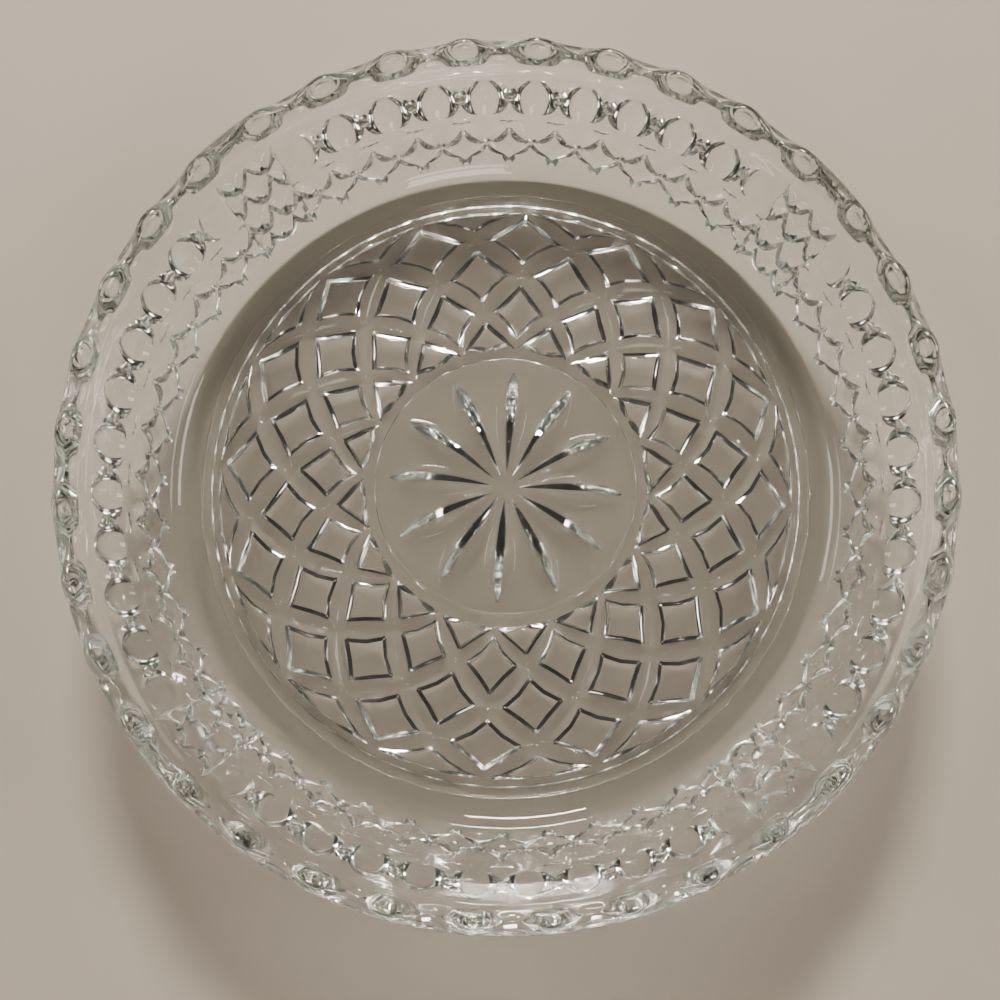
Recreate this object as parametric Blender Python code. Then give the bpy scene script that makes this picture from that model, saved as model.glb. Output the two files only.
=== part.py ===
"""Pressed-glass round dish with a star base and a scalloped rim.

The real thing is one moulding.  Here it is divided along the lines its
mould leaves on it: the base medallion, the lattice floor, the foot ring,
the cove, and, between four narrow mould-joint panels, four quarters of
net band, oval band and rim.  Neighbouring zones keep a hairline gap.

Frame: origin on the resting plane under the centre, +Z up through the
open side, +Y through the middle of the first quarter.  Metres.
"""
import math

import bmesh
import bpy

MM = 0.001

# ---------------------------------------------------------------- sizes
ZONE_GAP = 0.30 * MM            # hairline gap between neighbouring zones
HALF_GAP = ZONE_GAP / 2

# Base
RIDGE_Z = 1.4 * MM              # underside of the ribs above the resting plane
FLOOR_Z = 6.4 * MM              # smooth upper face of the floor
STAR_R = 45.7 * MM              # medallion
STAR_PETALS = 12
PETAL_ROOT_R = 5.0 * MM
PETAL_NEAR_R = 14.8 * MM        # where a petal is already nearly at full width
PETAL_WIDE_R = 27.0 * MM
PETAL_FAR_R = 34.4 * MM         # where it starts to close to its tip
PETAL_TIP_R = 41.8 * MM
PETAL_HALF_WIDTH = 5.6 * MM
PETAL_NEAR_SHARE = 0.80         # shares of the full angular width
PETAL_FAR_SHARE = 0.55
PETAL_CREASE = 3.0 * MM         # depth of a petal's centre crease

RIB_COUNT = 16                  # overlapping circular ribs of the lattice
RIB_R = 64.8 * MM
RIB_CENTRE_R = 52.5 * MM
LATTICE_OUTER_R = 103.0 * MM
CELL_BEVEL = 5.4 * MM           # width of the bevels round a lattice window
HALF_CELL_BEVEL = 3.2 * MM      # the same in the half cells along both edges
CELL_DEPTH = 2.6 * MM           # window depth above the ribs
HALF_CELL_DEPTH = 1.8 * MM
ARC_STEPS = 4                   # straight pieces per cell along a round edge

# Foot ring
FOOT_OUTER_R = 108.4 * MM
FOOT_BEAD = [(103.85, 0.35), (104.4, 0.0), (107.0, 0.0), (107.85, 0.2)]  # (radius, height), mm
FOOT_EDGE_Z = 0.6 * MM          # underside where the bead meets the cove
FOOT_SEGMENTS = 64

# Cove, from the foot ring up to the wall
COVE_SEGMENTS = 96
COVE_TOP_OUT_Z = 5.0 * MM
COVE_TOP_IN_Z = 9.6 * MM

# Wall: (height, radius) of the outer and the inner face
WALL_OUT = [(0.4, 108.4), (1.4, 114.0), (3.0, 118.2), (5.0, 120.9), (8.0, 122.9),
            (14.5, 125.0), (21.0, 127.9), (23.0, 129.0), (31.5, 133.7), (40.0, 137.3)]
WALL_IN = [(6.4, 106.0), (7.2, 111.2), (9.6, 116.0), (13.0, 118.6), (18.0, 121.0),
           (23.0, 123.4), (31.5, 128.2), (40.0, 131.6)]

QUARTERS = 4
UNIT = math.radians(7.5)        # one repeat of the wall patterns
JOINT_HALF = math.radians(5.0)  # half width of a mould-joint panel
QUARTER_HALF = math.radians(45.0) - JOINT_HALF

# Net band: crossing leaf cuts that leave raised diamonds
NET_ROWS = [5.0 * MM, 8.0 * MM, 14.5 * MM, 21.0 * MM, 23.0 * MM]
NET_CUT = 0.75 * MM             # half width of a leaf cut
NET_RAISE = 0.75 * MM

# Oval band
OVAL_TOP_Z = 40.0 * MM
OVAL_HALF_HEIGHT = 7.0 * MM
OVAL_SIDES = 12
OVAL_GROOVE = 0.75 * MM
OVAL_DOME = 0.6 * MM

THUMB_MARGIN = math.radians(0.25)   # left beside the thumbprint at each end of the band

# Mould-joint panel
JOINT_RIB = math.radians(0.7)
JOINT_RIB_BEVEL = 0.3 * MM
JOINT_CUT = 0.7 * MM

# Rim
SCALLOP = math.radians(10.0)
RIM_STEP = math.radians(2.0)
CREST_LEAN = 1.2                # mm a crest stands further out than a dip
THUMBPRINT = 1.3                # mm, hollow under each crest, outside
# Points from the outer foot of the rim over its crest to the inner foot, in mm:
# radius and height in a dip, share of the hollow, share of the lean, rise to a crest
RIM_SECTION = [
    (141.0, 43.2, 0.0, 0.0, 0.0),
    (142.2, 46.8, 1.0, 0.0, 0.0),
    (141.6, 49.6, 0.5, 0.0, 1.2),
    (139.2, 51.4, 0.0, 1.0, 4.0),
    (137.8, 52.2, 0.0, 1.0, 4.0),
    (135.6, 49.8, 0.0, 0.5, 4.0),
    (134.0, 48.6, 0.0, 0.0, 0.0),
]

GLASS = (0.86, 0.90, 0.87, 1.0)


# -------------------------------------------------------------- helpers
def clear_scene():
    for old in list(bpy.data.objects):
        bpy.data.objects.remove(old, do_unlink=True)


def polar(radius, angle, height):
    """A point from its radius, its angle from +Y and its height."""
    return (radius * math.sin(angle), radius * math.cos(angle), height)


def angle_of(co):
    return math.atan2(co.x, co.y)


def along(table, height):
    """Radius at a height, read from a (height, radius) table in millimetres."""
    h = height / MM
    for (h0, r0), (h1, r1) in zip(table, table[1:]):
        if h <= h1:
            break
    t = max(0.0, (h - h0) / (h1 - h0))
    return (r0 + (r1 - r0) * t) * MM


def along_height(table, radius_mm):
    """Height at a radius given in millimetres, read from the same table."""
    for (h0, r0), (h1, r1) in zip(table, table[1:]):
        if radius_mm <= r1:
            break
    return (h0 + (h1 - h0) * (radius_mm - r0) / (r1 - r0)) * MM


def glass_material(name):
    mat = bpy.data.materials.new(name)
    mat.use_nodes = True
    shader = mat.node_tree.nodes["Principled BSDF"]
    shader.inputs["Base Color"].default_value = GLASS
    shader.inputs["Roughness"].default_value = 0.04
    shader.inputs["IOR"].default_value = 1.5
    shader.inputs["Transmission Weight"].default_value = 0.85
    return mat


MATERIALS = {}


def finish(name, slot, bm, sharp_deg=25.0):
    """Close the mesh into a named object with its material."""
    bmesh.ops.recalc_face_normals(bm, faces=bm.faces)
    mesh = bpy.data.meshes.new(name)
    bm.to_mesh(mesh)
    bm.free()
    if slot not in MATERIALS:
        MATERIALS[slot] = glass_material(slot)
    mesh.materials.append(MATERIALS[slot])
    mesh.shade_smooth()
    mesh.set_sharp_from_angle(angle=math.radians(sharp_deg))
    obj = bpy.data.objects.new(name, mesh)
    bpy.context.scene.collection.objects.link(obj)
    return obj


def thicken(bm, place):
    """Turn the skin in bm into a closed body; place(vertex) gives the far side."""
    skin = list(bm.faces)
    grown = bmesh.ops.extrude_face_region(bm, geom=skin, use_keep_orig=True)
    for vert in [g for g in grown["geom"] if isinstance(g, bmesh.types.BMVert)]:
        vert.co = place(vert.co)
    bmesh.ops.recalc_face_normals(bm, faces=bm.faces)
    return skin


class Skin:
    """A sheet of faces whose corners are shared by position."""

    def __init__(self):
        self.bm = bmesh.new()
        self.known = {}

    def vert(self, point):
        key = tuple(round(c / (0.01 * MM)) for c in point)
        if key not in self.known:
            self.known[key] = self.bm.verts.new(point)
        return self.known[key]

    def face(self, points):
        ring = []
        for point in points:
            vert = self.vert(point)
            if vert not in ring:
                ring.append(vert)
        return self.bm.faces.new(ring) if len(ring) > 2 else None


def ring_body(name, slot, profile, segments, sharp_deg=25.0):
    """Revolve a closed (radius, height) profile about Z."""
    bm = bmesh.new()
    verts = [bm.verts.new((0.0, r, z)) for r, z in profile]
    edges = [bm.edges.new((a, b)) for a, b in zip(verts, verts[1:] + verts[:1])]
    bmesh.ops.spin(bm, geom=verts + edges, cent=(0, 0, 0), axis=(0, 0, 1),
                   angle=2 * math.pi, steps=segments, use_merge=True)
    bmesh.ops.remove_doubles(bm, verts=bm.verts, dist=0.00001)
    return finish(name, slot, bm, sharp_deg)


# ----------------------------------------------------------------- base
def star_medallion():
    """Disc with twelve creased petals pressed into its underside."""
    skin = Skin()
    pitch = 2 * math.pi / STAR_PETALS
    edge_r = STAR_R - HALF_GAP
    half_wide = PETAL_HALF_WIDTH / PETAL_WIDE_R
    creases = []
    for k in range(STAR_PETALS):
        mid = k * pitch
        root = polar(PETAL_ROOT_R, mid, RIDGE_Z)
        tip = polar(PETAL_TIP_R, mid, RIDGE_Z)
        inner = polar(PETAL_NEAR_R, mid, RIDGE_Z)
        outer = polar(PETAL_WIDE_R, mid, RIDGE_Z)
        creases += [inner, outer]
        for side in (-1, 1):
            a = polar(PETAL_NEAR_R, mid + side * PETAL_NEAR_SHARE * half_wide, RIDGE_Z)
            b = polar(PETAL_WIDE_R, mid + side * half_wide, RIDGE_Z)
            c = polar(PETAL_FAR_R, mid + side * PETAL_FAR_SHARE * half_wide, RIDGE_Z)
            skin.face([root, a, inner])
            skin.face([inner, a, b, outer])
            skin.face([outer, b, c, tip])
            # land between this petal and the next, half on each side
            rim = [polar(edge_r, mid + side * t * pitch / 2, RIDGE_Z) for t in (0, 1 / 3, 2 / 3, 1)]
            hub = polar(0, 0, RIDGE_Z)
            half = [polar(PETAL_ROOT_R, mid + side * pitch / 2, RIDGE_Z)]
            skin.face([root, a, b, c, tip] + rim + half)
            skin.face([hub, root] + half)
    centre_verts = [skin.vert(point) for point in creases]
    thicken(skin.bm, lambda co: (co.x, co.y, FLOOR_Z))
    for vert in centre_verts:
        vert.co.z += PETAL_CREASE
    return finish("star_medallion", "glass_medallion", skin.bm, 12.0)


def rib_crossing(beta):
    """Radius at which ribs that are 2*beta apart cross."""
    return (RIB_CENTRE_R * math.cos(beta)
            + math.sqrt(RIB_R ** 2 - (RIB_CENTRE_R * math.sin(beta)) ** 2))


def on_rib(rib_angle, angle):
    """Point of the rib centred at rib_angle, seen from the middle at an angle."""
    beta = angle - rib_angle
    return polar(rib_crossing(beta), angle, RIDGE_Z)


def lattice_floor():
    """Annulus whose underside carries the net of crossing circular ribs."""
    skin = Skin()
    pitch = 2 * math.pi / RIB_COUNT
    half = pitch / 2
    full_cells = []
    half_cells = []
    for k in range(RIB_COUNT):
        for row in (4, 5, 6):
            mid = k * pitch + (half if row % 2 else 0.0)
            near = (row + 1) * half
            far = (row - 1) * half
            full_cells.append(skin.face([
                on_rib(mid + near, mid),
                on_rib(mid + near, mid + half / 2),
                on_rib(mid + near, mid + half),
                on_rib(mid - far, mid + half / 2),
                on_rib(mid - far, mid),
                on_rib(mid + far, mid - half / 2),
                on_rib(mid + far, mid - half),
                on_rib(mid - near, mid - half / 2)]))
        # half cells between neighbouring rib tips, and the plain edge beyond them
        for tip_row, apex_row, edge_r in ((7, 6, STAR_R + HALF_GAP), (3, 4, LATTICE_OUTER_R - HALF_GAP)):
            start = k * pitch
            tip_r = rib_crossing(tip_row * half)
            steps = [start + pitch * t / ARC_STEPS for t in range(ARC_STEPS + 1)]
            turn = tip_row if tip_row < apex_row else -tip_row
            rib = start - turn * half
            mirror_rib = start + pitch + turn * half
            half_cells.append(skin.face(
                [polar(tip_r, a, RIDGE_Z) for a in steps]
                + [on_rib(mirror_rib, start + 1.5 * half),
                   polar(rib_crossing(apex_row * half), start + half, RIDGE_Z),
                   on_rib(rib, start + 0.5 * half)]))
            for a0, a1 in zip(steps, steps[1:]):
                skin.face([polar(tip_r, a0, RIDGE_Z), polar(tip_r, a1, RIDGE_Z),
                           polar(edge_r, a1, RIDGE_Z), polar(edge_r, a0, RIDGE_Z)])
    thicken(skin.bm, lambda co: (co.x, co.y, FLOOR_Z))
    bmesh.ops.inset_individual(skin.bm, faces=full_cells, thickness=CELL_BEVEL, depth=-CELL_DEPTH,
                               use_even_offset=True)
    bmesh.ops.inset_individual(skin.bm, faces=half_cells, thickness=HALF_CELL_BEVEL,
                               depth=-HALF_CELL_DEPTH, use_even_offset=True)
    return finish("lattice_floor", "glass_lattice", skin.bm, 8.0)


def foot_ring():
    """Bead round the floor; its narrow flat land is what the dish rests on."""
    inner = LATTICE_OUTER_R + HALF_GAP
    outer = FOOT_OUTER_R - HALF_GAP
    profile = [(inner, FLOOR_Z), (inner, RIDGE_Z)]
    profile += [(r * MM, z * MM) for r, z in FOOT_BEAD]
    profile += [(outer, FOOT_EDGE_Z), (outer, along_height(WALL_IN, outer / MM)),
                (WALL_IN[0][1] * MM, FLOOR_Z)]
    return ring_body("foot_ring", "glass_foot", profile, FOOT_SEGMENTS)


def cove_ring():
    """Smooth turn from the floor into the wall."""
    inner = FOOT_OUTER_R + HALF_GAP
    top_out = COVE_TOP_OUT_Z - HALF_GAP
    top_in = COVE_TOP_IN_Z - HALF_GAP
    profile = [(inner, along_height(WALL_IN, inner / MM)), (inner, along_height(WALL_OUT, inner / MM))]
    profile += [(r * MM, z * MM) for z, r in WALL_OUT if r * MM > inner and z * MM < top_out]
    profile += [(along(WALL_OUT, top_out), top_out), (along(WALL_IN, top_in), top_in)]
    profile += [(r * MM, z * MM) for z, r in reversed(WALL_IN) if r * MM > inner and z * MM < top_in]
    return ring_body("cove_ring", "glass_cove", profile, COVE_SEGMENTS)


# ----------------------------------------------------------------- wall
def inner_height(height):
    """Height on the inner face that lies behind a height on the outer face."""
    bottom = COVE_TOP_OUT_Z
    top = NET_ROWS[-1]
    if height >= top:
        return height
    t = (height - bottom) / (top - bottom)
    return COVE_TOP_IN_Z + t * (top - COVE_TOP_IN_Z)


def behind(co):
    """Point on the inner face behind a point of the outer face."""
    height = inner_height(co.z)
    return polar(along(WALL_IN, height), angle_of(co), height)


def wall_point(angle, height):
    return polar(along(WALL_OUT, height), angle, height)


def gap_angle():
    """Half a zone gap as an angle, at the foot of the wall's net band."""
    return HALF_GAP / along(WALL_OUT, COVE_TOP_OUT_Z)


def turned(obj, quarter):
    obj.rotation_euler = (0.0, 0.0, -quarter * math.pi / 2)
    return obj


def net_band(quarter):
    """Crossing leaf cuts; what they leave are raised diamonds and half diamonds."""
    skin = Skin()
    end = QUARTER_HALF - gap_angle()
    bottom, low, middle, high, top = NET_ROWS
    bottom += HALF_GAP
    top -= HALF_GAP
    cells = []

    def at(step, height):
        """Point a number of half units from the quarter's middle."""
        return wall_point(max(-end, min(end, step * UNIT / 2)), height)

    for k in range(-5, 6):
        node = 2 * k
        cells.append([at(node, middle), at(node + 1, high), at(node + 1, top),
                      at(node - 1, top), at(node - 1, high)])
        cells.append([at(node, middle), at(node - 1, low), at(node - 1, bottom),
                      at(node + 1, bottom), at(node + 1, low)])
        if k < 5:
            cells.append([at(node, middle), at(node + 1, low), at(node + 2, middle),
                          at(node + 1, high)])
    for side in (-1, 1):
        cells.append([at(side * 10, middle), at(side * 11, high), at(side * 11, low)])
    faces = [skin.face(points) for points in cells]
    thicken(skin.bm, behind)
    bmesh.ops.inset_individual(skin.bm, faces=faces, thickness=NET_CUT, depth=NET_RAISE,
                               use_even_offset=True)
    name = "net_band_q%d" % (quarter + 1)
    return turned(finish(name, "glass_net", skin.bm), quarter)


def oval_band(quarter):
    """Row of oval cushions between pairs of curved cuts, a thumbprint at each end."""
    skin = Skin()
    end = QUARTER_HALF - gap_angle()
    bottom = NET_ROWS[-1] + HALF_GAP
    top = OVAL_TOP_Z - HALF_GAP
    mid = (bottom + top) / 2
    quarter_turn = OVAL_SIDES // 4

    def oval(centre, half_width):
        ring = []
        for n in range(OVAL_SIDES):
            turn = 2 * math.pi * n / OVAL_SIDES
            ring.append(wall_point(centre + half_width * math.cos(turn),
                                   mid + OVAL_HALF_HEIGHT * math.sin(turn)))
        return ring

    last_x = 4.5 * UNIT
    spans = [(k * UNIT, UNIT / 2) for k in range(-4, 5)]
    thumb = (end - last_x) / 2 - THUMB_MARGIN
    spans.insert(0, (-last_x - thumb, thumb))
    spans.append((last_x + thumb, thumb))
    rings = [oval(centre, half) for centre, half in spans]
    ovals = [skin.face(ring) for ring in rings]

    # plain glass over and under the crossings
    for (c0, _), ring0, (c1, _), ring1 in zip(spans, rings, spans[1:], rings[1:]):
        upper = ring0[:quarter_turn + 1] + [wall_point(c0, top), wall_point(c1, top)]
        upper += ring1[quarter_turn:2 * quarter_turn]
        skin.face(upper)
        lower = [ring0[0]] + ring0[:-quarter_turn - 1:-1]
        lower += [wall_point(c0, bottom), wall_point(c1, bottom)]
        lower += ring1[3 * quarter_turn:2 * quarter_turn:-1]
        skin.face(lower)
    # and at both ends of the band
    for side, (centre, _), ring in ((-1, spans[0], rings[0]), (1, spans[-1], rings[-1])):
        if side > 0:
            outline = ring[3 * quarter_turn:] + ring[:quarter_turn + 1]
        else:
            outline = ring[3 * quarter_turn:quarter_turn - 1:-1]
        skin.face(outline + [wall_point(centre, top), wall_point(side * end, top),
                             wall_point(side * end, mid),
                             wall_point(side * end, bottom), wall_point(centre, bottom)])
    thicken(skin.bm, behind)
    bmesh.ops.inset_individual(skin.bm, faces=ovals, thickness=OVAL_GROOVE, depth=-OVAL_GROOVE,
                               use_even_offset=True)
    bmesh.ops.inset_individual(skin.bm, faces=ovals, thickness=OVAL_GROOVE, depth=OVAL_GROOVE,
                               use_even_offset=True)
    bmesh.ops.poke(skin.bm, faces=ovals, offset=OVAL_DOME)
    name = "oval_band_q%d" % (quarter + 1)
    return turned(finish(name, "glass_oval", skin.bm), quarter)


def joint_panel(quarter):
    """Narrow panel over a mould joint: two edge ribs and tall crossed cuts."""
    skin = Skin()
    end = JOINT_HALF - gap_angle()
    rib = end - JOINT_RIB
    rows = [COVE_TOP_OUT_Z + HALF_GAP, NET_ROWS[-1], OVAL_TOP_Z - HALF_GAP]
    ribs = []
    cuts = []
    for z0, z1 in zip(rows, rows[1:]):
        zm = (z0 + z1) / 2
        for side in (-1, 1):
            ribs.append(skin.face([wall_point(side * rib, z0), wall_point(side * end, z0),
                                   wall_point(side * end, z1), wall_point(side * rib, z1)]))
            centre = wall_point(side * rib / 2, zm)
            corners = [wall_point(0, z0), wall_point(side * rib, z0),
                       wall_point(side * rib, z1), wall_point(0, z1)]
            for p, q in zip(corners, corners[1:] + corners[:1]):
                cuts.append(skin.face([centre, p, q]))
    thicken(skin.bm, behind)
    bmesh.ops.inset_individual(skin.bm, faces=cuts, thickness=JOINT_CUT, depth=-JOINT_CUT,
                               use_even_offset=True)
    bmesh.ops.inset_individual(skin.bm, faces=ribs, thickness=JOINT_RIB_BEVEL, depth=JOINT_CUT,
                               use_even_offset=True)
    name = "joint_panel_%d" % (quarter + 1)
    obj = finish(name, "glass_joint", skin.bm)
    obj.rotation_euler = (0.0, 0.0, -(quarter + 0.5) * math.pi / 2)
    return obj


# ------------------------------------------------------------------ rim
def scallop_wave(angle):
    """0 in the dips, 1 on the crests; the long bead over a joint stays at 1."""
    a = abs(angle)
    if a > 4 * SCALLOP:
        return 1.0
    return 0.5 * (1 + math.cos(2 * math.pi * a / SCALLOP))


def rim_section(wave):
    """Closed (radius, height) section of the rim where the scallop wave has a value."""
    bottom = OVAL_TOP_Z + HALF_GAP
    section = [(along(WALL_OUT, OVAL_TOP_Z), bottom)]
    for radius, height, hollow, lean, rise in RIM_SECTION:
        radius += lean * CREST_LEAN * (wave - 0.5) - hollow * THUMBPRINT * wave
        section.append((radius * MM, (height + rise * wave) * MM))
    section.append((along(WALL_IN, OVAL_TOP_Z), bottom))
    return section


def rim_quarter(quarter):
    """Thick scalloped rim from one mould joint to the next."""
    bm = bmesh.new()
    end = math.pi / 4 - gap_angle()
    count = round(math.pi / 2 / RIM_STEP)
    rings = []
    for n in range(count + 1):
        angle = max(-end, min(end, -math.pi / 4 + n * RIM_STEP))
        section = rim_section(scallop_wave(angle))
        rings.append([bm.verts.new(polar(r, angle, z)) for r, z in section])
    for ring0, ring1 in zip(rings, rings[1:]):
        for a, b, c, d in zip(ring0, ring0[1:] + ring0[:1], ring1[1:] + ring1[:1], ring1):
            bm.faces.new((a, b, c, d))
    bm.faces.new(rings[0])
    bm.faces.new(rings[-1])
    name = "rim_q%d" % (quarter + 1)
    return turned(finish(name, "glass_rim", bm, 35.0), quarter)


# ------------------------------------------------------------- assembly
clear_scene()
star_medallion()
lattice_floor()
foot_ring()
cove_ring()
for index in range(QUARTERS):
    net_band(index)
    oval_band(index)
    joint_panel(index)
    rim_quarter(index)
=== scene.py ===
"""Looks of the pressed-glass bowl: one continuous moulding with its cut relief.

The CAD divides the bowl into zones.  Glass refracts at every face, so the
visible bowl is one closed mesh that stands for all of those nodes: patches
follow the ribs, petals and cuts, so each crease runs along mesh edges.
Lengths are in millimetres until the mesh is written.
"""
import math

import bmesh
import bpy
import numpy as np
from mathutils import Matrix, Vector


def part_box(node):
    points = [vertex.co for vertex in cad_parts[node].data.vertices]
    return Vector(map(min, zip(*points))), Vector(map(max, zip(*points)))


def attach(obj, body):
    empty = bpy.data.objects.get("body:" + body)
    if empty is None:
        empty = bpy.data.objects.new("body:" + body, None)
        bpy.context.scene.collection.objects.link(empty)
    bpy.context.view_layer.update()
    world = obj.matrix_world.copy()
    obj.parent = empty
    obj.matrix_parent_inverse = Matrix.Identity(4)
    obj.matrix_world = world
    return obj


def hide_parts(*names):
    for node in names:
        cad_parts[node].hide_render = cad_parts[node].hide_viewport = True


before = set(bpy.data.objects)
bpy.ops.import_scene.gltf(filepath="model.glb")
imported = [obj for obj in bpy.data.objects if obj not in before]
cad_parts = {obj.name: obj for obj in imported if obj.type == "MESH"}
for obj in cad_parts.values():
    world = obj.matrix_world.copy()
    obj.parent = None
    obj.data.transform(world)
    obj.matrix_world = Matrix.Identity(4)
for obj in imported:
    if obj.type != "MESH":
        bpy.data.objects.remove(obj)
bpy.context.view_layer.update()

MM = 0.001


def node_span(node):
    """Outer radius, lowest and highest point of a CAD node, in millimetres."""
    low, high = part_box(node)
    return high[0] / MM, low[2] / MM, high[2] / MM


STAR_R, RIDGE_Z, FLOOR_Z = node_span("star_medallion")
FOOT_R = node_span("foot_ring")[0]
_, RIM_BASE, RIM_TOP = node_span("rim_q1")

# Star and lattice, on the underside
PETALS = 12
HUB_R = 2.0
PETAL_ROOT_R, PETAL_WIDE_R, PETAL_TIP_R = 4.0, 27.0, 41.8
PETAL_HALF_WIDTH = 5.6
PETAL_DEPTH = 4.0
PETAL_OPENING, PETAL_CLOSING = 1.15, 1.9    # how its width grows from the root, shrinks to the tip
RING_GROOVE = [(-0.7, 0.0), (-0.3, 0.35), (0.1, 0.5), (0.5, 0.35), (0.9, 0.0)]  # from STAR_R, depth
RIBS = 16
RIB_R, RIB_CENTRE_R = 64.8, 52.5
RIB_DEPTH = 3.3
# from a rib's crest line to the middle of a window: fraction of the cell, fraction of the depth
RIB_PROFILE = [(0.0, 0.0), (0.014, 0.015), (0.10, 0.27), (0.165, 0.43), (0.20, 0.73),
               (0.235, 1.0), (0.27, 1.04), (0.5, 1.04)]
RIB_NECK = 0.62                  # width of a rib where ribs cross, of its width halfway
LATTICE_MARGIN = 0.7             # plain edge round the lattice

# Foot bead
BEAD_IN = 103.9
BEAD_STEP = 0.2                  # small step beside the bead
BEAD_INSET = 0.1
BEAD_FULLNESS = 0.7              # below 1, the bead is fuller than a half circle

# Wall: (height, radius) points of the outer and inner face
OUTER = [(0.5, 108.4), (1.3, 113.5), (2.8, 118.0), (5.0, 121.0), (8.0, 122.9), (14.5, 125.0),
         (21.0, 127.9), (23.0, 129.0), (31.5, 133.7), (RIM_BASE, 137.4)]
INNER = [(FLOOR_Z, 105.0), (6.9, 110.0), (8.6, 114.2), (11.5, 117.2), (15.0, 119.4),
         (19.5, 121.6), (23.0, 123.6), (31.5, 128.3), (RIM_BASE, 131.7)]
MEAN_WALL_R = 126.0
HALF_UNIT = 3.75                 # degrees; the wall patterns repeat every two
UNIT_MM = math.radians(HALF_UNIT) * MEAN_WALL_R     # a half unit along the wall
PER_QUARTER = 24                 # half units from one mould joint to the next
MID_QUARTER = PER_QUARTER // 2
LAST_NODE = 10                   # half units from the middle of a quarter to its last node
EDGE_FADE = 0.8                  # height in which the relief runs out above and below
MIN_CUT_WIDTH = 0.02

# Net of cuts on the lower wall.  Cuts run from start to stop, (half units, height)
NET_BOTTOM, NET_LOW, NET_NODE, NET_HIGH, NET_TOP = 5.0, 8.2, 14.5, 20.8, 23.0
NET_WIDTH, NET_DEPTH = 2.8, 2.4
NET_LEAVES = [((0, NET_NODE), (1, NET_HIGH), NET_WIDTH, NET_DEPTH),
              ((0, NET_NODE), (1, NET_LOW), 0.75 * NET_WIDTH, 0.75 * NET_DEPTH)]
NET_ARMS = [((1, NET_LOW), (0.45, NET_LOW + 3.4), 1.9, 2.2),
            ((1, NET_LOW), (0.72, NET_BOTTOM + 0.1), 1.7, 2.2)]
DASH_HALF_LENGTH, DASH_WIDTH, DASH_DEPTH = 4.2, 0.9, 1.1    # level cuts along NET_TOP

# Ovals on the upper wall
OVAL_LOW, OVAL_MID, OVAL_HIGH = 24.6, 31.4, 38.2
OVAL_HALF_WIDTH = 0.80           # in half units
OVAL_CUSHION = 1.1
CRESCENT_WIDTH, CRESCENT_DEPTH = 2.0, 2.7
CRESCENT_END = 66.0              # degrees above and below the oval's side
PRINT_FROM, PRINT_STEP = 9.0, 10.0          # round thumbprint beside a panel, in half units
PRINT_R, PRINT_DEPTH = 6.4, 1.1

# Panels over the mould joints
PANEL_BANDS = [(NET_BOTTOM, NET_TOP), (NET_TOP, RIM_BASE)]
PANEL_FROM = 11.0                # half units from the middle of a quarter
JOINT_WARP = [(0.0, 0.0), (9.0, 9.0), (PANEL_FROM, 10.7), (12.0, 12.0)]
PANEL_STRETCH = 1.3              # the warp widens half a panel to 1.3 half units
PANEL_CUT_WIDTH, PANEL_CUT_DEPTH = 1.9, 2.0
PANEL_RIB_RISE, PANEL_RIB_WIDTH = 0.7, 0.55
PANEL_FADE = 1.5
PANEL_EDGE = 0.08                # spread where the panel meets the cove and the rim

# Rim
SCALLOP = 10.0                   # degrees
LONG_BEAD_FROM = 4 * SCALLOP     # from the middle of a quarter to the bead over the joint
CREST_RISE, CREST_LEAN = 3.9, 0.8
DIP_TOP = RIM_TOP - CREST_RISE
# section from the outer wall over the lip to the inner wall:
# radius, share of the lean, height in the dips, rise to the crests
RIM_SECTION = [
    (OUTER[-1][1], 0.0, RIM_BASE, 0.0),
    (140.2, 0.0, 42.0, 0.0),
    (141.2, 0.0, 44.4, 0.0),
    (141.45, 0.0, 47.6, 0.0),
    (141.2, 0.2, 50.6, 0.9),
    (140.0, 0.6, DIP_TOP - 1.2, CREST_RISE),
    (138.7, 1.0, DIP_TOP - 0.15, CREST_RISE),
    (137.2, 1.0, DIP_TOP - 0.2, CREST_RISE),
    (135.8, 0.6, DIP_TOP - 1.7, CREST_RISE),
    (134.7, 0.2, 49.9, 1.0),
    (133.9, 0.0, 47.0, 0.2),
    (INNER[-1][1], 0.0, RIM_BASE, 0.0),
]
LIP_KEY = 6                      # the section's keys before this one face outwards
RIM_STEPS = 3                    # mesh rows from key to key
RIM_R = 141.0
HOLLOW_Z, HOLLOW_HALF_WIDTH, HOLLOW_HALF_HEIGHT, HOLLOW_DEPTH = 46.6, 8.6, 6.2, 2.0
HOLLOWS_UP_TO = 42.0             # degrees from the middle of a quarter

# Mesh columns of the parts that are turned round the axis
FOOT_COLUMNS, INSIDE_COLUMNS = 200, 320
FLOOR_RINGS = [96.0, 70.0, 0.0]
RIM_SEAM = 0.8                   # below the rim, where the inside changes its columns


# ---------------------------------------------------------------- curves
def hermite(t, start, stop, leave, arrive):
    """Cubic from start to stop with the given slopes at its ends."""
    return ((2 * t ** 3 - 3 * t ** 2 + 1) * start + (t ** 3 - 2 * t ** 2 + t) * leave
            + (3 * t ** 2 - 2 * t ** 3) * stop + (t ** 3 - t ** 2) * arrive)


def smooth_table(points):
    """A smooth curve through (height, radius) points, as a function of height."""
    h = np.array([p[0] for p in points])
    r = np.array([p[1] for p in points])
    slope = np.gradient(r, h)

    def radius(height):
        height = np.clip(height, h[0], h[-1])
        k = np.clip(np.searchsorted(h, height, side="right") - 1, 0, len(h) - 2)
        step = h[k + 1] - h[k]
        t = (height - h[k]) / step
        return hermite(t, r[k], r[k + 1], step * slope[k], step * slope[k + 1])

    return radius


outer_r = smooth_table(OUTER)
inner_r = smooth_table(INNER)


def even(count):
    """Fractions from 0 to 1 in equal steps."""
    return np.linspace(0.0, 1.0, count + 1)


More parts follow.
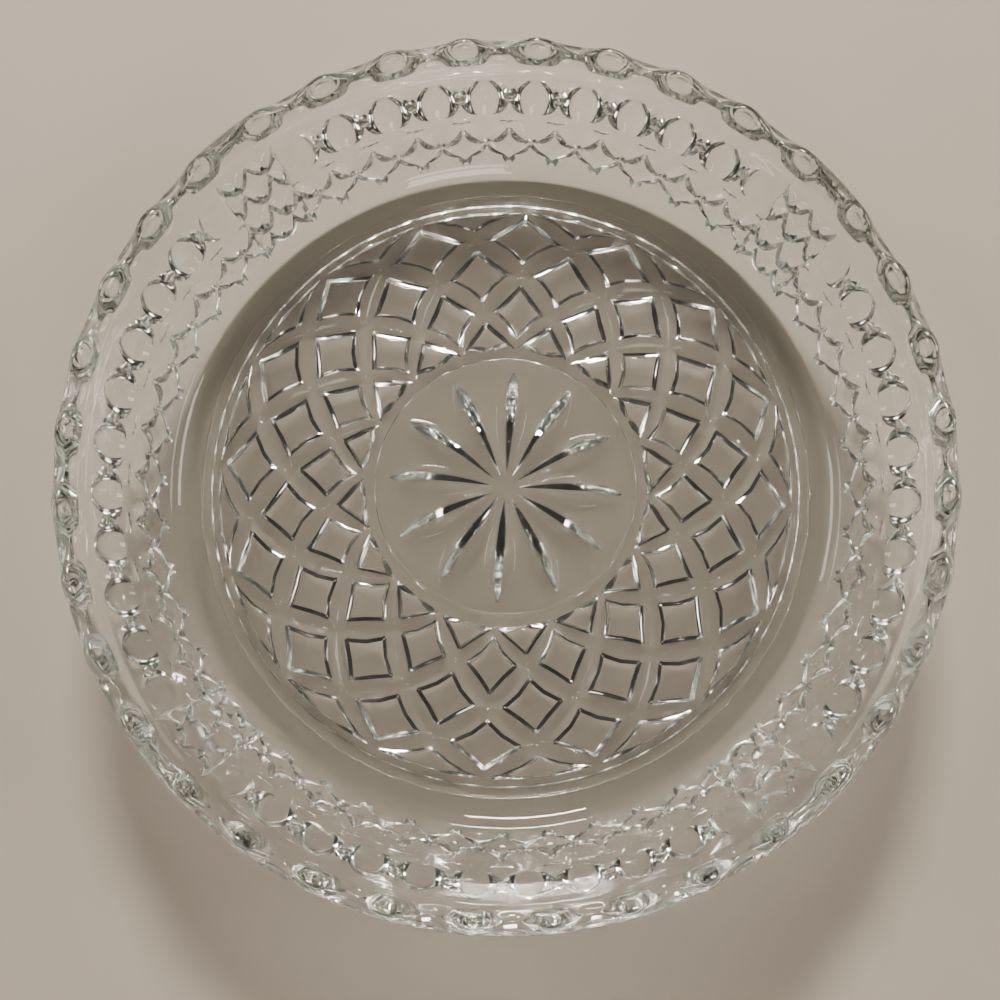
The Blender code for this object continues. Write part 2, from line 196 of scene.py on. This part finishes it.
def eased(count, share):
    """Fractions from 0 to 1, closer together at both ends, where the creases are."""
    t = np.linspace(-1.0, 1.0, count + 1)
    warp = np.sin(t * math.pi / 2)
    return 0.5 + 0.5 * (share * warp + (1 - share) * t)


def xyz(radius, degrees, height):
    """Points from radius, angle from +Y towards +X, and height."""
    a = np.radians(degrees)
    radius, height, a = np.broadcast_arrays(radius, height, a)
    return np.stack([radius * np.sin(a), radius * np.cos(a), height], axis=-1)


# ------------------------------------------------------------------ soup
SEAM_REACH = 0.000004            # metres; points this close become one
SHARP_FROM = 38                  # degrees; sharper edges stay creases


class Soup:
    """Points and faces of patches whose seams are merged at the end."""

    def __init__(self):
        self.points = []
        self.faces = []
        self.count = 0

    def add(self, points):
        """Take in points; returns the index of the first."""
        start = self.count
        flat = np.asarray(points, float).reshape(-1, 3)
        self.points.append(flat)
        self.count += len(flat)
        return start

    def grid(self, block):
        """Quads over a block of points, (rows, columns, 3)."""
        rows, columns = block.shape[:2]
        start = self.add(block)
        n = start + np.arange(rows * columns).reshape(rows, columns)
        quads = np.stack([n[:-1, :-1], n[:-1, 1:], n[1:, 1:], n[1:, :-1]], axis=-1)
        self.faces += quads.reshape(-1, 4).tolist()

    def zip_rings(self, ring_a, angles_a, ring_b, angles_b):
        """Triangles between two closed rings, both sorted by angle."""
        a0 = self.add(ring_a)
        b0 = self.add(ring_b)
        na, nb = len(angles_a), len(angles_b)
        # the angle after each point; a ring that is used up never comes next again
        after_a = [*angles_a[1:], 360.0 + angles_a[0], math.inf]
        after_b = [*angles_b[1:], 360.0 + angles_b[0], math.inf]
        i = j = 0
        while i < na or j < nb:
            va, vb = a0 + i % na, b0 + j % nb
            if after_a[i] <= after_b[j]:
                self.faces.append([va, vb, a0 + (i + 1) % na])
                i += 1
            else:
                self.faces.append([va, vb, b0 + (j + 1) % nb])
                j += 1

    def to_object(self, name):
        """Merge the seams and link the closed mesh to the scene."""
        mesh = bpy.data.meshes.new(name)
        mesh.from_pydata((np.concatenate(self.points) * MM).tolist(), [], self.faces)
        bm = bmesh.new()
        bm.from_mesh(mesh)
        bmesh.ops.remove_doubles(bm, verts=bm.verts, dist=SEAM_REACH)
        bmesh.ops.dissolve_degenerate(bm, edges=bm.edges, dist=SEAM_REACH / 2)
        bmesh.ops.recalc_face_normals(bm, faces=bm.faces)
        open_edges = sum(1 for edge in bm.edges if len(edge.link_faces) != 2)
        print(name, "faces", len(bm.faces), "open edges", open_edges)
        bm.to_mesh(mesh)
        bm.free()
        mesh.shade_smooth()
        mesh.set_sharp_from_angle(angle=math.radians(SHARP_FROM))
        obj = bpy.data.objects.new(name, mesh)
        bpy.context.scene.collection.objects.link(obj)
        return obj


def blend_sides(bottom, top, left, right, u, v):
    """Coons patch: interpolate a grid from its four sides, each (count, 2)."""
    u = u[None, :, None]
    v = v[:, None, None]
    across = (1 - v) * bottom[None] + v * top[None]
    along = (1 - u) * left[:, None] + u * right[:, None]
    corners = ((1 - u) * (1 - v) * bottom[0] + u * (1 - v) * bottom[-1]
               + (1 - u) * v * top[0] + u * v * top[-1])
    return across + along - corners


# ------------------------------------------------------------------ base
def star_relief(soup, angles_out, ring_out):
    """Petals, the land between them, the hub, and the plain edge to the lattice."""
    pitch = 360.0 / PETALS
    along = eased(24, 0.5)
    radius = PETAL_ROOT_R + (PETAL_TIP_R - PETAL_ROOT_R) * along
    rise = (PETAL_WIDE_R - PETAL_ROOT_R) / (PETAL_TIP_R - PETAL_ROOT_R)
    opening = np.sin(0.5 * math.pi * np.minimum(along / rise, 1.0)) ** PETAL_OPENING
    closing = 1 - np.clip((along - rise) / (1 - rise), 0, 1) ** PETAL_CLOSING
    shape = np.where(along < rise, opening, closing)
    half = np.degrees(PETAL_HALF_WIDTH * shape / radius)
    across = np.linspace(-1, 1, 11)
    land = even(6)
    for k in range(PETALS):
        angle = k * pitch + half[:, None] * across[None, :]
        inward = 1 - np.abs(across[None, :])
        # the flanks steepen towards the crease
        depth = PETAL_DEPTH * shape[:, None] * (0.5 * inward + 0.5 * inward ** 2)
        soup.grid(xyz(radius[:, None], angle, RIDGE_Z + depth))
        start = k * pitch + half
        stop = (k + 1) * pitch - half
        angle = start[:, None] + (stop - start)[:, None] * land[None, :]
        soup.grid(xyz(radius[:, None], angle, RIDGE_Z))
    spoke = np.concatenate([(k + land[:-1]) * pitch for k in range(PETALS)])
    loop = np.append(spoke, 360.0)
    soup.grid(xyz(np.array([PETAL_ROOT_R, HUB_R, 0.0])[:, None], loop[None, :], RIDGE_Z))
    # a fine ring groove between the star and the lattice
    offset, lift = np.array(RING_GROOVE).T
    steps = np.concatenate([[PETAL_TIP_R], STAR_R + offset])
    lift = np.concatenate([[0.0], lift])
    soup.grid(xyz(steps[:, None], loop[None, :], (RIDGE_Z + lift)[:, None]))
    soup.zip_rings(xyz(steps[-1], spoke, RIDGE_Z), spoke, ring_out, angles_out)


def rib_crossing(beta):
    """Radius at which ribs that are 2*beta degrees apart cross."""
    b = np.radians(beta)
    return RIB_CENTRE_R * np.cos(b) + np.sqrt(RIB_R ** 2 - (RIB_CENTRE_R * np.sin(b)) ** 2)


# circles through the tips of the lattice
TIP_IN, TIP_OUT = rib_crossing(7 * 180 / RIBS), rib_crossing(3 * 180 / RIBS)


def lattice_relief(soup):
    """Cells between the ribs; returns the angles on the two edge circles."""
    half = 180.0 / RIBS
    offsets, depths = np.array(RIB_PROFILE).T
    profile = np.concatenate([depths, depths[-2::-1]])
    sink = np.minimum(profile[:, None], profile[None, :]) * RIB_DEPTH
    position = np.concatenate([offsets, 1.0 - offsets[-2::-1]])
    swell = RIB_NECK + (1 - RIB_NECK) * np.sin(math.pi * position)
    nearer = np.concatenate([offsets, offsets[-2::-1]])
    scaled = np.where(nearer[None, :] < 0.5, nearer[None, :] * swell[:, None], 0.5)
    past = (np.arange(len(position)) >= len(offsets))[None, :]
    u = np.where(past, 1.0 - scaled, scaled)
    v = u.T
    edge = u[0]

    def on_rib(rib, start, stop):
        def curve(t):
            angle = start + (stop - start) * t
            return xyz(rib_crossing(angle - rib), angle, 0.0)[..., :2]
        return curve

    def on_circle(radius, start, stop):
        return lambda t: xyz(radius, start + (stop - start) * t, 0.0)[..., :2]

    def cell(bottom, top, left, right):
        s, t = u[..., None], v[..., None]
        corners = ((1 - s) * (1 - t) * bottom(0.0) + s * (1 - t) * bottom(1.0)
                   + (1 - s) * t * top(0.0) + s * t * top(1.0))
        flat = (1 - t) * bottom(u) + t * top(u) + (1 - s) * left(v) + s * right(v) - corners
        soup.grid(np.concatenate([flat, (RIDGE_Z + sink)[..., None]], axis=-1))

    for k in range(RIBS):
        for row in (4, 5, 6):
            mid = (2 * k + row % 2) * half
            near, far = (row + 1) * half, (row - 1) * half
            cell(on_rib(mid + near, mid, mid + half), on_rib(mid + far, mid - half, mid),
                 on_rib(mid - near, mid, mid - half), on_rib(mid - far, mid + half, mid))
        mid = (2 * k + 1) * half
        cell(on_circle(TIP_IN, mid, mid + half), on_rib(mid + 6 * half, mid - half, mid),
             on_circle(TIP_IN, mid, mid - half), on_rib(mid - 6 * half, mid + half, mid))
        cell(on_rib(mid + 4 * half, mid, mid + half), on_circle(TIP_OUT, mid - half, mid),
             on_rib(mid - 4 * half, mid, mid - half), on_circle(TIP_OUT, mid + half, mid))
    return np.concatenate([(n + edge[:-1]) * half for n in range(2 * RIBS)])


def foot_and_cove(soup, inner_angles, wall_angles):
    """Foot bead and the plain underside of the cove, turned round the axis."""
    turn = np.linspace(0, 360, FOOT_COLUMNS, endpoint=False)
    loop = np.append(turn, 360.0)
    bead_mid = (BEAD_IN + FOOT_R) / 2
    bead_half = (FOOT_R - BEAD_IN) / 2 - BEAD_INSET
    bend = np.radians(np.linspace(0, 180, 11))
    radius = bead_mid - bead_half * np.cos(bend)
    top = RIDGE_Z - BEAD_STEP
    height = top - top * np.sin(bend) ** BEAD_FULLNESS
    wall_start = OUTER[0][0]
    height[-1] = wall_start + BEAD_INSET
    plain_r = TIP_OUT + LATTICE_MARGIN
    soup.zip_rings(xyz(TIP_OUT, inner_angles, RIDGE_Z), inner_angles,
                   xyz(plain_r, turn, RIDGE_Z), turn)
    radius = np.concatenate([[plain_r, BEAD_IN - BEAD_STEP], radius])
    height = np.concatenate([[RIDGE_Z, RIDGE_Z], height])
    # rows of the cove, closer together near the bead, up to just under the net
    rise = wall_start + BEAD_INSET + (NET_BOTTOM - 0.5 - wall_start) * even(10)[1:] ** 1.3
    radius = np.concatenate([radius, outer_r(rise)])
    height = np.concatenate([height, rise])
    soup.grid(xyz(radius[:, None], loop[None, :], height[:, None]))
    soup.zip_rings(xyz(radius[-1], turn, height[-1]), turn,
                   xyz(outer_r(NET_BOTTOM), wall_angles, NET_BOTTOM), wall_angles)


# ------------------------------------------------------------------ wall
def joint_warp(step):
    """Squeeze the last half units so that the joint panel gets its width."""
    quarter = np.round(step / PER_QUARTER)
    local = step - quarter * PER_QUARTER
    plain, warped = np.array(JOINT_WARP).T
    return quarter * PER_QUARTER + np.sign(local) * np.interp(np.abs(local), plain, warped)


def leaf_cut(x, y, start, stop, width, depth):
    """Depth of a pointed V cut along a line, widest at its middle."""
    ax, ay = start
    dx, dy = stop[0] - ax, stop[1] - ay
    length = math.hypot(dx, dy)
    t = np.clip(((x - ax) * dx + (y - ay) * dy) / length ** 2, 0.0, 1.0)
    off = np.hypot(x - ax - t * dx, y - ay - t * dy)
    swell = np.sin(math.pi * t) ** 0.75
    return depth * swell * np.clip(1 - off / np.maximum(width * swell, MIN_CUT_WIDTH), 0, 1)


def arm_cut(x, y, start, stop, width, depth):
    """Depth of a V cut that is widest at its start and runs out at its stop."""
    ax, ay = start
    dx, dy = stop[0] - ax, stop[1] - ay
    t = np.clip(((x - ax) * dx + (y - ay) * dy) / (dx * dx + dy * dy), 0.0, 1.0)
    off = np.hypot(x - ax - t * dx, y - ay - t * dy)
    taper = (1 - t) ** 0.6
    return depth * taper * np.clip(1 - off / np.maximum(width * taper, MIN_CUT_WIDTH), 0, 1)


def net_relief(fold, height):
    """Depth of the net's cuts; fold is the distance to a node, in half units."""
    x = fold * UNIT_MM

    def mm(point):
        return point[0] * UNIT_MM, point[1]

    dash = (UNIT_MM - DASH_HALF_LENGTH, NET_TOP), (UNIT_MM + DASH_HALF_LENGTH, NET_TOP)
    cuts = [leaf_cut(x, height, mm(a), mm(b), width, depth) for a, b, width, depth in NET_LEAVES]
    cuts += [arm_cut(x, height, mm(a), mm(b), width, depth) for a, b, width, depth in NET_ARMS]
    cuts.append(leaf_cut(x, height, *dash, DASH_WIDTH, DASH_DEPTH))
    return np.maximum.reduce(cuts)


def oval_relief(fold, height, local):
    """Cushions between curved cuts, and a plain round thumbprint beside each panel."""
    x = fold * UNIT_MM
    wide, tall = OVAL_HALF_WIDTH * UNIT_MM, OVAL_HIGH - OVAL_MID
    px, py = x / wide, (height - OVAL_MID) / tall
    rho = np.hypot(px, py) + 1e-6
    off = np.abs(rho - 1) * rho / np.hypot(px / wide, py / tall)
    turn = np.degrees(np.arctan2(py, np.maximum(px, 1e-6)))
    swell = np.clip(np.cos(np.radians(turn * 90 / CRESCENT_END)), 0, 1) ** 0.6
    width = np.maximum(CRESCENT_WIDTH * swell, MIN_CUT_WIDTH)
    crescent = CRESCENT_DEPTH * swell * np.clip(1 - off / width, 0, 1)
    ovals = OVAL_CUSHION * np.clip(1 - rho ** 2, 0, 1) - crescent

    print_x = (local - PRINT_STEP) * UNIT_MM
    dish = np.clip(1 - (np.hypot(print_x, height - OVAL_MID) / PRINT_R) ** 2, 0, 1)
    near_end = np.clip(local - PRINT_FROM, 0, 1)
    return np.where(local > PRINT_FROM, ovals * (1 - near_end) - PRINT_DEPTH * dish, ovals)


def panel_rib(distance):
    """Height of a panel's edge rib at a distance from its crest."""
    return PANEL_RIB_RISE * np.exp(-(distance / PANEL_RIB_WIDTH) ** 2)


def panel_relief(from_joint, height):
    """Tall crossed cuts between two edge ribs."""
    side = UNIT_MM * PANEL_STRETCH
    cuts = np.zeros_like(height)
    for low, high in PANEL_BANDS:
        middle = (side / 2, (low + high) / 2)
        for end in (low, high):
            for corner in ((0, end), (side, end)):
                cuts = np.maximum(cuts, leaf_cut(from_joint, height, corner, middle,
                                                 PANEL_CUT_WIDTH, PANEL_CUT_DEPTH))
    return panel_rib(side - from_joint) - cuts


def fade_in(height, reach):
    """0 at both borders of the wall, 1 from reach inside them."""
    return (np.clip((height - NET_BOTTOM) / reach, 0, 1)
            * np.clip((RIM_BASE - height) / reach, 0, 1))


def wall_relief(step, height):
    """How far the outer face stands out (+) or is cut in (-), in millimetres."""
    quarter = np.round(step / PER_QUARTER)
    local = np.abs(step - quarter * PER_QUARTER)
    fold = np.abs(local - 2 * np.round(local / 2))
    on_net = height < NET_TOP + EDGE_FADE
    on_ovals = height > NET_TOP + EDGE_FADE
    relief = (np.where(on_net, -net_relief(fold, height), 0.0)
              + np.where(on_ovals, oval_relief(fold, height, local), 0.0))
    fade = fade_in(height, PANEL_FADE)
    from_joint = np.clip(MID_QUARTER - local, 0, 1) * UNIT_MM * PANEL_STRETCH
    panel = panel_relief(from_joint, height) * fade
    outside = panel_rib((PANEL_FROM - local) * UNIT_MM) * fade
    relief = np.where(local > PANEL_FROM, panel, relief + outside)
    return relief * fade_in(height, EDGE_FADE)


def wall_points(step, height):
    """Points of the relief-carrying outer face at half-unit steps and heights."""
    relief = wall_relief(step, height)
    near = 0.05
    slope = (outer_r(height + near) - outer_r(height - near)) / (2 * near)
    length = np.sqrt(1 + slope ** 2)
    angle = joint_warp(step) * HALF_UNIT
    return xyz(outer_r(height) + relief / length, angle, height - relief * slope / length)


FINE = eased(9, 0.4)             # across a half unit, and up the net
TALL = eased(8, 0.5)             # along an oval's quarter


def wall_patch(soup, bottom, top, left, right, u, v):
    """A patch of the wall between four sides, each a row of (half units, height)."""
    flat = blend_sides(bottom, top, left, right, u, v)
    soup.grid(wall_points(flat[..., 0], flat[..., 1]))


def line(start, stop, steps):
    """Points on a straight line, at fractions of its length."""
    start, stop = np.array(start, float), np.array(stop, float)
    return start + (stop - start) * steps[:, None]


def flat_patch(soup, step0, step1, low, high, rows):
    """A rectangle of the wall, one half unit wide, in even rows."""
    four_sided(soup, (step0, low), (step1, low), (step1, high), (step0, high), FINE, even(rows))


def four_sided(soup, a, b, c, d, u=FINE, v=FINE):
    """A patch with straight sides and corners a, b, c, d in turn."""
    wall_patch(soup, line(a, b, u), line(d, c, u), line(a, d, v), line(b, c, v), u, v)


def net_unit(soup, node, first, last):
    """The cells round one node of the net."""
    here = (node, NET_NODE)
    high0, high1 = (node - 1, NET_HIGH), (node + 1, NET_HIGH)
    low0, low1 = (node - 1, NET_LOW), (node + 1, NET_LOW)
    four_sided(soup, here, high1, (node, NET_HIGH), high0)
    four_sided(soup, here, low0, (node, NET_LOW), low1)
    if last:
        four_sided(soup, here, low1, (node + 1, NET_NODE), high1)
    else:
        four_sided(soup, here, low1, (node + 2, NET_NODE), high1)
    if first:
        four_sided(soup, here, high0, (node - 1, NET_NODE), low0)
    for step in (node - 1, node):
        flat_patch(soup, step, step + 1, NET_BOTTOM, NET_LOW, 3)
        flat_patch(soup, step, step + 1, NET_HIGH, NET_TOP, 3)


def oval_arc(centre, start, stop, steps):
    """Part of an oval's outline, from start to stop degrees."""
    turn = np.radians(start + (stop - start) * steps)
    return np.stack([centre + OVAL_HALF_WIDTH * np.cos(turn),
                     OVAL_MID + (OVAL_HIGH - OVAL_MID) * np.sin(turn)], axis=-1)


def oval_unit(soup, centre):
    """One oval and the four corners round it."""
    wall_patch(soup, oval_arc(centre, -90, 0, TALL), oval_arc(centre, 180, 90, TALL),
               oval_arc(centre, -90, -180, TALL), oval_arc(centre, 0, 90, TALL), TALL, TALL)
    for side in (-1, 1):
        beside = centre + side
        for up, level in ((-1, OVAL_LOW), (1, OVAL_HIGH)):
            arc_from = 0 if side > 0 else 180
            arc_to = 90 * up if side > 0 else 180 - 90 * up
            wall_patch(soup,
                       line((centre + side * OVAL_HALF_WIDTH, OVAL_MID), (beside, OVAL_MID), FINE),
                       line((centre, level), (beside, level), FINE),
                       oval_arc(centre, arc_from, arc_to, TALL),
                       line((beside, OVAL_MID), (beside, level), TALL), FINE, TALL)
    for step in (centre - 1, centre):
        flat_patch(soup, step, step + 1, NET_TOP, OVAL_LOW, 2)
        flat_patch(soup, step, step + 1, OVAL_HIGH, RIM_BASE, 2)


def panel_lines(spread):
    """Column positions of half a joint panel whose cuts lie at spread and 1 - spread."""
    spread = np.asarray(spread, float)[..., None]
    side = even(4)
    return np.concatenate([spread * side, spread + (1 - 2 * spread) * side[1:],
                           1 - spread + spread * side[1:]], axis=-1)


def panel_column(soup, step):
    """One half of a joint panel; its columns follow the two crossing cuts."""
    levels = np.concatenate([
        line((0, low), (0, high), v)[:-1, 1]
        for low, high, v in [(NET_BOTTOM, NET_LOW, even(3)), (NET_LOW, NET_NODE, FINE),
                             (NET_NODE, NET_HIGH, FINE), (NET_HIGH, NET_TOP, even(3)),
                             (NET_TOP, OVAL_LOW, even(2)), (OVAL_LOW, OVAL_MID, TALL),
                             (OVAL_MID, OVAL_HIGH, TALL), (OVAL_HIGH, RIM_BASE, even(2))]]
        + [[RIM_BASE]])
    spread = np.zeros_like(levels)
    for low, high in PANEL_BANDS:
        t = (levels - low) / (high - low)
        spread = np.maximum(spread, np.minimum(t, 1 - t))
    spread = np.clip(spread, PANEL_EDGE, 0.5)
    spread[[0, -1]] = PANEL_EDGE
    soup.grid(wall_points(step + panel_lines(spread), levels[:, None]))


def wall_angles():
    """Angles of the wall's mesh columns, once round from the first quarter's middle."""
    panel = panel_lines(PANEL_EDGE)
    steps = []
    for n in range(4 * PER_QUARTER):
        beside_joint = n % PER_QUARTER in (MID_QUARTER - 1, MID_QUARTER)
        steps.append(n + (panel if beside_joint else FINE)[:-1])
    return joint_warp(np.concatenate(steps)) * HALF_UNIT


# ------------------------------------------------------------------- rim
def quarter_angle(degrees):
    """Angle from the middle of the nearest quarter."""
    return degrees - 90 * np.round(degrees / 90)


def scallop_wave(degrees):
    """0 in the dips, 1 on the crests; the long bead over a mould joint stays at 1."""
    local = np.abs(quarter_angle(degrees))
    wave = 0.5 * (1 + np.cos(2 * math.pi * local / SCALLOP))
    return np.where(local > LONG_BEAD_FROM, 1.0, wave)


def spline(values, fine):
    """Catmull-Rom through rows of values, at fractional row numbers."""
    slope = np.gradient(values, axis=0)
    k = np.clip(fine.astype(int), 0, len(values) - 2)
    return hermite((fine - k)[:, None], values[k], values[k + 1], slope[k], slope[k + 1])


def rim_section(soup, angles):
    """The rim's section, rounded and carried round with the scallops."""
    loop = np.append(angles, 360.0)
    wave = scallop_wave(loop)
    lean = CREST_LEAN * (wave - 0.5)
    base_r, lean_share, dip_z, rise = (key[:, None] for key in np.array(RIM_SECTION).T)
    last = len(RIM_SECTION) - 1
    fine = np.linspace(0, last, RIM_STEPS * last + 1)
    radius = spline(base_r + lean_share * lean, fine)
    height = spline(dip_z + rise * wave, fine)
    # thumbprint hollow under each crest, outside
    local = quarter_angle(loop)
    off = (local - SCALLOP * np.round(local / SCALLOP)) * math.radians(1) * RIM_R
    hollow = np.clip(1 - np.hypot(off[None, :] / HOLLOW_HALF_WIDTH,
                                  (height - HOLLOW_Z) / HOLLOW_HALF_HEIGHT) ** 2, 0, 1)
    dished = (fine < LIP_KEY)[:, None] & (np.abs(local) <= HOLLOWS_UP_TO)[None, :]
    radius = radius - np.where(dished, HOLLOW_DEPTH * hollow, 0.0)
    radius[0], height[0] = RIM_SECTION[0][0], RIM_BASE
    soup.grid(xyz(radius, loop[None, :], height))


def smooth_inside(soup, angles):
    """The plain inner face, from the rim down the wall and over the floor."""
    turn = np.linspace(0, 360, INSIDE_COLUMNS, endpoint=False)
    loop = np.append(turn, 360.0)
    start = RIM_BASE - RIM_SEAM
    soup.zip_rings(xyz(inner_r(RIM_BASE), angles, RIM_BASE), angles,
                   xyz(inner_r(start), turn, start), turn)
    # rows down the wall, closer together towards the floor
    levels = FLOOR_Z + (start - FLOOR_Z) * even(14)[::-1] ** 1.7
    radius = np.concatenate([inner_r(levels), FLOOR_RINGS])
    height = np.concatenate([levels, np.full(len(FLOOR_RINGS), FLOOR_Z)])
    soup.grid(xyz(radius[:, None], loop[None, :], height[:, None]))


def build_bowl():
    """The whole moulding as one closed mesh."""
    soup = Soup()
    rib_angles = lattice_relief(soup)
    star_relief(soup, rib_angles, xyz(TIP_IN, rib_angles, RIDGE_Z))
    angles = wall_angles()
    foot_and_cove(soup, rib_angles, angles)
    for quarter in range(4):
        middle = quarter * PER_QUARTER
        for node in range(-LAST_NODE, LAST_NODE + 1, 2):
            net_unit(soup, middle + node, node == -LAST_NODE, node == LAST_NODE)
            oval_unit(soup, middle + node)
        panel_column(soup, middle + MID_QUARTER - 1)
        panel_column(soup, middle + MID_QUARTER)
    rim_section(soup, angles)
    smooth_inside(soup, angles)
    return soup.to_object("pressed_glass_bowl")


# -------------------------------------------------------------- material
GLASS_IOR = 1.5
GLASS_FACE = (0.985, 0.992, 0.988, 1)
GLASS_DEPTH_TINT, TINT_DENSITY = (0.72, 0.83, 0.77, 1), 11.0
GRAIN_BELOW, GRAIN_ABOVE = 0.0040, 0.0046   # metres; the grain runs out between these heights
MOULD_GRAIN = 0.06               # roughness of the underside
FILM = 0.03                      # roughness of the faint wear in patches
FLOOR_DARK, FLOOR_LIGHT = (0.47, 0.42, 0.36, 1), (0.52, 0.465, 0.40, 1)


def new_material(name):
    """A node material; returns it with its shader and two makers of nodes and links."""
    mat = bpy.data.materials.new(name)
    mat.use_nodes = True
    tree = mat.node_tree

    def node(kind, **values):
        made = tree.nodes.new("ShaderNode" + kind)
        for socket, value in values.items():
            made.inputs[socket.replace("_", " ")].default_value = value
        return made

    return mat, tree.nodes["Principled BSDF"], node, tree.links.new


def glass_material():
    """Clear soda-lime glass: faint tint in depth, soft press waves, grainy underside."""
    mat, shader, node, link = new_material("pressed_glass")
    shader.inputs["Base Color"].default_value = GLASS_FACE
    shader.inputs["IOR"].default_value = GLASS_IOR
    shader.inputs["Transmission Weight"].default_value = 1.0

    where = node("TexCoord").outputs["Object"]
    waves = node("TexNoise", Scale=55.0, Detail=2.0)
    link(where, waves.inputs["Vector"])
    bump = node("Bump", Strength=0.25, Distance=0.0006)
    link(waves.outputs["Fac"], bump.inputs["Height"])
    link(bump.outputs["Normal"], shader.inputs["Normal"])

    # the underside keeps the fine grain of the mould, up to the windows between the ribs
    place = node("SeparateXYZ")
    link(where, place.inputs["Vector"])
    grain = node("MapRange", From_Min=GRAIN_ABOVE, From_Max=GRAIN_BELOW, To_Max=MOULD_GRAIN)
    link(place.outputs["Z"], grain.inputs["Value"])
    patches = node("TexNoise", Scale=140.0, Detail=6.0)
    link(where, patches.inputs["Vector"])
    film = node("MapRange", From_Min=0.45, From_Max=0.75, To_Max=FILM)
    link(patches.outputs["Fac"], film.inputs["Value"])
    rough = node("Math")
    rough.operation = "ADD"
    link(grain.outputs["Result"], rough.inputs[0])
    link(film.outputs["Result"], rough.inputs[1])
    link(rough.outputs["Value"], shader.inputs["Roughness"])

    tint = node("VolumeAbsorption", Color=GLASS_DEPTH_TINT, Density=TINT_DENSITY)
    link(tint.outputs["Volume"], mat.node_tree.nodes["Material Output"].inputs["Volume"])
    return mat


# ------------------------------------------------------------------ stage
def floor_material():
    mat, shader, node, link = new_material("pale_floor")
    shader.inputs["Roughness"].default_value = 0.6
    clouds = node("TexNoise", Scale=9.0, Detail=5.0)
    link(node("TexCoord").outputs["Object"], clouds.inputs["Vector"])
    ramp = node("ValToRGB")
    ramp.color_ramp.elements[0].color = FLOOR_DARK
    ramp.color_ramp.elements[1].color = FLOOR_LIGHT
    link(clouds.outputs["Fac"], ramp.inputs["Fac"])
    link(ramp.outputs["Color"], shader.inputs["Base Color"])
    return mat


# in metres and watts
FLOOR_REACH, FLOOR_GAP = 3.0, 0.0002
LAMP_COLOUR = (1.0, 0.91, 0.80)
LAMPS = [
    ("main", (-0.15, 1.35, 1.15), (0.4, 0.25), 40.0),
    ("right", (1.5, 0.2, 1.15), (0.6, 0.6), 11.0),
    ("left", (-1.45, 0.3, 1.1), (0.6, 0.6), 9.0),
    ("front", (0.4, -1.5, 1.1), (0.6, 0.6), 8.0),
]
ROOM_COLOUR, ROOM_LIGHT = (0.62, 0.56, 0.50, 1), 0.05
CAMERA_LEAN, CAMERA_TURN = 8.3, 2.4         # degrees
CAMERA_DISTANCE, CAMERA_LENS = 0.396, 39.9  # metres, millimetres
AIM_FORWARD, AIM_SIDE = 0.0046, -0.0018     # aim point, from the centre of the foot


def build_floor():
    bm = bmesh.new()
    bmesh.ops.create_grid(bm, x_segments=1, y_segments=1, size=FLOOR_REACH)
    mesh = bpy.data.meshes.new("floor")
    bm.to_mesh(mesh)
    bm.free()
    floor = bpy.data.objects.new("floor", mesh)
    floor.location.z = -FLOOR_GAP
    mesh.materials.append(floor_material())
    bpy.context.scene.collection.objects.link(floor)


def aim(obj, target):
    obj.rotation_euler = (Vector(target) - obj.location).to_track_quat("-Z", "Y").to_euler()


def build_lights():
    """Soft lamps of one warm colour, aimed at the bowl, in a dim room."""
    for name, place, size, watts in LAMPS:
        data = bpy.data.lights.new(name, "AREA")
        data.shape = "RECTANGLE"
        data.size, data.size_y = size
        data.energy = watts
        data.color = LAMP_COLOUR
        lamp = bpy.data.objects.new(name, data)
        lamp.location = place
        bpy.context.scene.collection.objects.link(lamp)
        aim(lamp, (0, 0, 0))
    world = bpy.data.worlds.new("soft_room")
    world.use_nodes = True
    back = world.node_tree.nodes["Background"]
    back.inputs["Color"].default_value = ROOM_COLOUR
    back.inputs["Strength"].default_value = ROOM_LIGHT
    bpy.context.scene.world = world


def build_camera():
    """Close overhead view, leaning a little towards the front."""
    lean, turn = math.radians(CAMERA_LEAN), math.radians(CAMERA_TURN)
    data = bpy.data.cameras.new("camera")
    data.sensor_width = 36.0
    data.lens = CAMERA_LENS
    data.clip_start = 0.01
    camera = bpy.data.objects.new("camera", data)
    away = Vector((math.sin(turn), -math.cos(turn), 0.0))
    up = Vector((0, 0, CAMERA_DISTANCE * math.cos(lean)))
    camera.location = away * CAMERA_DISTANCE * math.sin(lean) + up
    aim(camera, away * AIM_FORWARD + Vector((AIM_SIDE, 0, 0)))
    bpy.context.scene.collection.objects.link(camera)
    bpy.context.scene.camera = camera


bowl = build_bowl()
bowl.data.materials.append(glass_material())
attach(bowl, "root")
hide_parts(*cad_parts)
build_floor()
build_lights()
build_camera()

# light has to pass many faces of glass, and its bright paths aren't clamped
cycles = bpy.context.scene.cycles
cycles.sample_clamp_indirect = 0.0
cycles.max_bounces = 24
cycles.transmission_bounces = 20
cycles.glossy_bounces = 8
